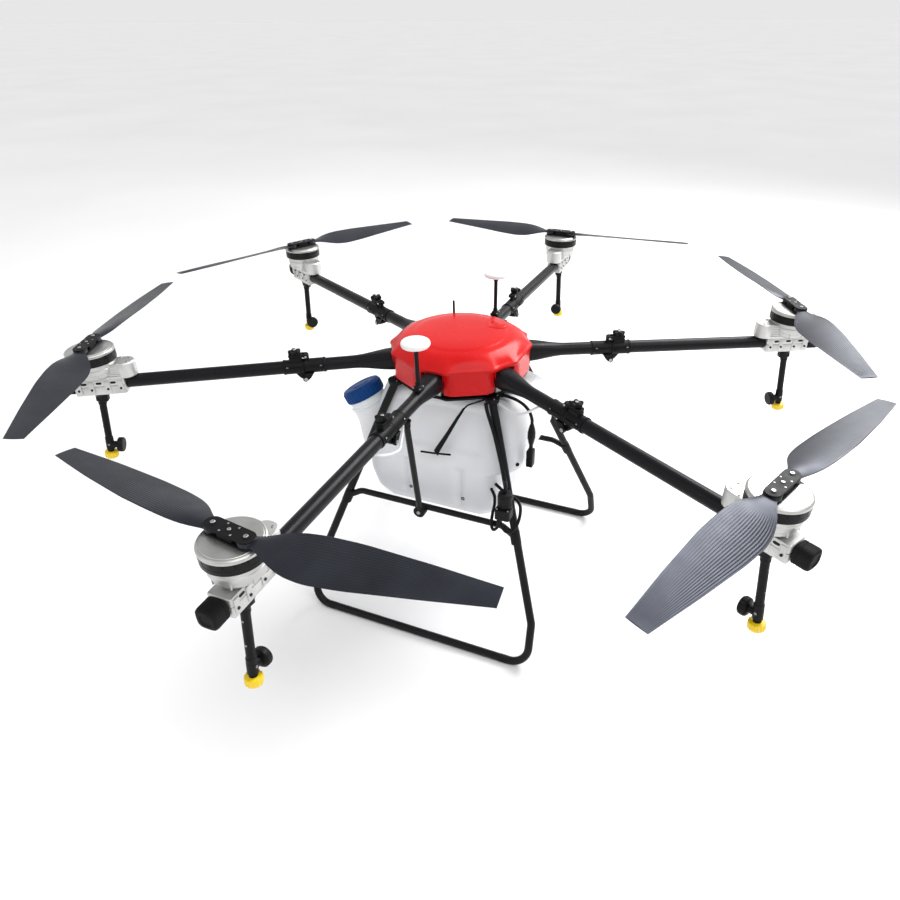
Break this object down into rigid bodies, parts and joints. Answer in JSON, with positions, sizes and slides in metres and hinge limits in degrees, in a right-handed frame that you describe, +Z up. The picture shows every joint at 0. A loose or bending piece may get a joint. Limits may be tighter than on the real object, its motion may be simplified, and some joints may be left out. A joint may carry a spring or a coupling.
{
  "type": "agricultural spray drone",
  "caption": "Agricultural spraying multicopter: folding arms with latches, folding-blade rotors and hanging nozzles, round cover, liquid tank and skid frames.",
  "frame": {"origin": "on the ground, under the middle of the hub", "axes": "+Z up, +Y towards the end with the battery lead, +X along arm 1"},
  "size_m": [1.7642, 1.7328, 0.7421],
  "materials": {
    "carbon": "woven carbon fibre tube, satin",
    "blade": "satin, fine lengthwise ribs",
    "cast_aluminium": "bead blasted casting",
    "bell": "turned, satin",
    "canopy_red": "gloss red",
    "black_plastic": "satin black",
    "tank_white": "translucent white, moulded",
    "cap_blue": "moulded blue",
    "receiver_white": "satin white",
    "nozzle_yellow": "moulded",
    "lead_rubber": "cable jacket"
  },
  "bodies": {
    "airframe": {"canopy": "canopy_red", "centre_frame": "black_plastic", "avionics": "black_plastic", "tank": "tank_white", "skid_right": "black_plastic", "skid_left": "black_plastic", "mast_right": "receiver_white", "mast_left": "receiver_white", "pump": "black_plastic", "battery_lead": "lead_rubber", "battery_plug": "black_plastic", "inner_arm_1": "carbon", "inner_arm_2": "carbon", "inner_arm_3": "carbon", "inner_arm_4": "carbon", "inner_arm_5": "carbon", "inner_arm_6": "carbon"},
    "arm_1": {"outer_arm_1": "carbon", "motor_mount_1": "cast_aluminium", "nozzle_1": "nozzle_yellow"},
    "latch_1": {"latch_1": "black_plastic"},
    "rotor_1": {"rotor_1": "bell"},
    "blade_1a": {"blade_1a": "blade"},
    "blade_1b": {"blade_1b": "blade"},
    "arm_2": {"outer_arm_2": "carbon", "motor_mount_2": "cast_aluminium", "nozzle_2": "nozzle_yellow"},
    "latch_2": {"latch_2": "black_plastic"},
    "rotor_2": {"rotor_2": "bell"},
    "blade_2a": {"blade_2a": "blade"},
    "blade_2b": {"blade_2b": "blade"},
    "arm_3": {"outer_arm_3": "carbon", "motor_mount_3": "cast_aluminium", "nozzle_3": "nozzle_yellow"},
    "latch_3": {"latch_3": "black_plastic"},
    "rotor_3": {"rotor_3": "bell"},
    "blade_3a": {"blade_3a": "blade"},
    "blade_3b": {"blade_3b": "blade"},
    "arm_4": {"outer_arm_4": "carbon", "motor_mount_4": "cast_aluminium", "nozzle_4": "nozzle_yellow"},
    "latch_4": {"latch_4": "black_plastic"},
    "rotor_4": {"rotor_4": "bell"},
    "blade_4a": {"blade_4a": "blade"},
    "blade_4b": {"blade_4b": "blade"},
    "arm_5": {"outer_arm_5": "carbon", "motor_mount_5": "cast_aluminium", "nozzle_5": "nozzle_yellow"},
    "latch_5": {"latch_5": "black_plastic"},
    "rotor_5": {"rotor_5": "bell"},
    "blade_5a": {"blade_5a": "blade"},
    "blade_5b": {"blade_5b": "blade"},
    "arm_6": {"outer_arm_6": "carbon", "motor_mount_6": "cast_aluminium", "nozzle_6": "nozzle_yellow"},
    "latch_6": {"latch_6": "black_plastic"},
    "rotor_6": {"rotor_6": "bell"},
    "blade_6a": {"blade_6a": "blade"},
    "blade_6b": {"blade_6b": "blade"},
    "tank_cap": {"tank_cap": "cap_blue"}
  },
  "joints": [
    {"name": "fold_1", "type": "hinge", "parent": "airframe", "child": "arm_1", "pos_m": [0.35522, 0, 0.58251], "axis": [0, 1, 0], "range_deg": [0, 90]},
    {"name": "latch_hinge_1", "type": "hinge", "parent": "airframe", "child": "latch_1", "pos_m": [0.35053, 0, 0.63465], "axis": [0, -1, 0], "range_deg": [0, 100]},
    {"name": "spin_1", "type": "hinge", "parent": "arm_1", "child": "rotor_1", "pos_m": [0.80152, 0, 0.66775], "axis": [0.0253, 0, 0.9997], "continuous": true},
    {"name": "blade_hinge_1a", "type": "hinge", "parent": "rotor_1", "child": "blade_1a", "pos_m": [0.80627, 0.03122, 0.68873], "axis": [-0.0253, 0, -0.9997], "range_deg": [-63, 87]},
    {"name": "blade_hinge_1b", "type": "hinge", "parent": "rotor_1", "child": "blade_1b", "pos_m": [0.79783, -0.03122, 0.68895], "axis": [0.0253, 0, 0.9997], "range_deg": [-72.5, 77.5]},
    {"name": "fold_2", "type": "hinge", "parent": "airframe", "child": "arm_2", "pos_m": [0.17761, 0.30763, 0.58251], "axis": [-0.866, 0.5, 0], "range_deg": [0, 90]},
    {"name": "latch_hinge_2", "type": "hinge", "parent": "airframe", "child": "latch_2", "pos_m": [0.17527, 0.30357, 0.63465], "axis": [0.866, -0.5, 0], "range_deg": [0, 100]},
    {"name": "spin_2", "type": "hinge", "parent": "arm_2", "child": "rotor_2", "pos_m": [0.40076, 0.69413, 0.66775], "axis": [0.0126, 0.0219, 0.9997], "continuous": true},
    {"name": "blade_hinge_2a", "type": "hinge", "parent": "rotor_2", "child": "blade_2a", "pos_m": [0.37192, 0.70665, 0.68894], "axis": [-0.0126, -0.0219, -0.9997], "range_deg": [-78, 72]},
    {"name": "blade_hinge_2b", "type": "hinge", "parent": "rotor_2", "child": "blade_2b", "pos_m": [0.43013, 0.68254, 0.68873], "axis": [0.0126, 0.0219, 0.9997], "range_deg": [-75.5, 74.5]},
    {"name": "fold_3", "type": "hinge", "parent": "airframe", "child": "arm_3", "pos_m": [-0.17761, 0.30763, 0.58251], "axis": [-0.866, -0.5, 0], "range_deg": [0, 90]},
    {"name": "latch_hinge_3", "type": "hinge", "parent": "airframe", "child": "latch_3", "pos_m": [-0.17527, 0.30357, 0.63465], "axis": [0.866, 0.5, 0], "range_deg": [0, 100]},
    {"name": "spin_3", "type": "hinge", "parent": "arm_3", "child": "rotor_3", "pos_m": [-0.40076, 0.69413, 0.66775], "axis": [-0.0126, 0.0219, 0.9997], "continuous": true},
    {"name": "blade_hinge_3a", "type": "hinge", "parent": "rotor_3", "child": "blade_3a", "pos_m": [-0.42934, 0.68079, 0.68878], "axis": [0.0126, -0.0219, -0.9997], "range_deg": [-70, 80]},
    {"name": "blade_hinge_3b", "type": "hinge", "parent": "rotor_3", "child": "blade_3b", "pos_m": [-0.37271, 0.7084, 0.68889], "axis": [-0.0126, 0.0219, 0.9997], "range_deg": [-70, 80]},
    {"name": "fold_4", "type": "hinge", "parent": "airframe", "child": "arm_4", "pos_m": [-0.35522, 0, 0.58251], "axis": [0, -1, 0], "range_deg": [0, 90]},
    {"name": "latch_hinge_4", "type": "hinge", "parent": "airframe", "child": "latch_4", "pos_m": [-0.35053, 0, 0.63465], "axis": [0, 1, 0], "range_deg": [0, 100]},
    {"name": "spin_4", "type": "hinge", "parent": "arm_4", "child": "rotor_4", "pos_m": [-0.80152, 0, 0.66775], "axis": [-0.0253, 0, 0.9997], "continuous": true},
    {"name": "blade_hinge_4a", "type": "hinge", "parent": "rotor_4", "child": "blade_4a", "pos_m": [-0.80205, -0.0315, 0.68884], "axis": [0.0253, 0, -0.9997], "range_deg": [-78.5, 71.5]},
    {"name": "blade_hinge_4b", "type": "hinge", "parent": "rotor_4", "child": "blade_4b", "pos_m": [-0.80205, 0.0315, 0.68884], "axis": [-0.0253, 0, 0.9997], "range_deg": [-79.5, 70.5]},
    {"name": "fold_5", "type": "hinge", "parent": "airframe", "child": "arm_5", "pos_m": [-0.17761, -0.30763, 0.58251], "axis": [0.866, -0.5, 0], "range_deg": [0, 90]},
    {"name": "latch_hinge_5", "type": "hinge", "parent": "airframe", "child": "latch_5", "pos_m": [-0.17527, -0.30357, 0.63465], "axis": [-0.866, 0.5, 0], "range_deg": [0, 100]},
    {"name": "spin_5", "type": "hinge", "parent": "arm_5", "child": "rotor_5", "pos_m": [-0.40076, -0.69413, 0.66775], "axis": [-0.0126, -0.0219, 0.9997], "continuous": true},
    {"name": "blade_hinge_5a", "type": "hinge", "parent": "rotor_5", "child": "blade_5a", "pos_m": [-0.37283, -0.70865, 0.68889], "axis": [0.0126, 0.0219, -0.9997], "range_deg": [-70.5, 79.5]},
    {"name": "blade_hinge_5b", "type": "hinge", "parent": "rotor_5", "child": "blade_5b", "pos_m": [-0.42921, -0.68054, 0.68879], "axis": [-0.0126, -0.0219, 0.9997], "range_deg": [-71, 79]},
    {"name": "fold_6", "type": "hinge", "parent": "airframe", "child": "arm_6", "pos_m": [0.17761, -0.30763, 0.58251], "axis": [0.866, 0.5, 0], "range_deg": [0, 90]},
    {"name": "latch_hinge_6", "type": "hinge", "parent": "airframe", "child": "latch_6", "pos_m": [0.17527, -0.30357, 0.63465], "axis": [-0.866, -0.5, 0], "range_deg": [0, 100]},
    {"name": "spin_6", "type": "hinge", "parent": "arm_6", "child": "rotor_6", "pos_m": [0.40076, -0.69413, 0.66775], "axis": [0.0126, -0.0219, 0.9997], "continuous": true},
    {"name": "blade_hinge_6a", "type": "hinge", "parent": "rotor_6", "child": "blade_6a", "pos_m": [0.43013, -0.68254, 0.68873], "axis": [-0.0126, 0.0219, -0.9997], "range_deg": [-66.5, 83.5]},
    {"name": "blade_hinge_6b", "type": "hinge", "parent": "rotor_6", "child": "blade_6b", "pos_m": [0.37192, -0.70665, 0.68894], "axis": [0.0126, -0.0219, 0.9997], "range_deg": [-70, 80]},
    {"name": "cap_lift", "type": "slide", "parent": "airframe", "child": "tank_cap", "axis": [0, -0.4699, 0.8827], "range_m": [0, 0.05]}
  ]
}
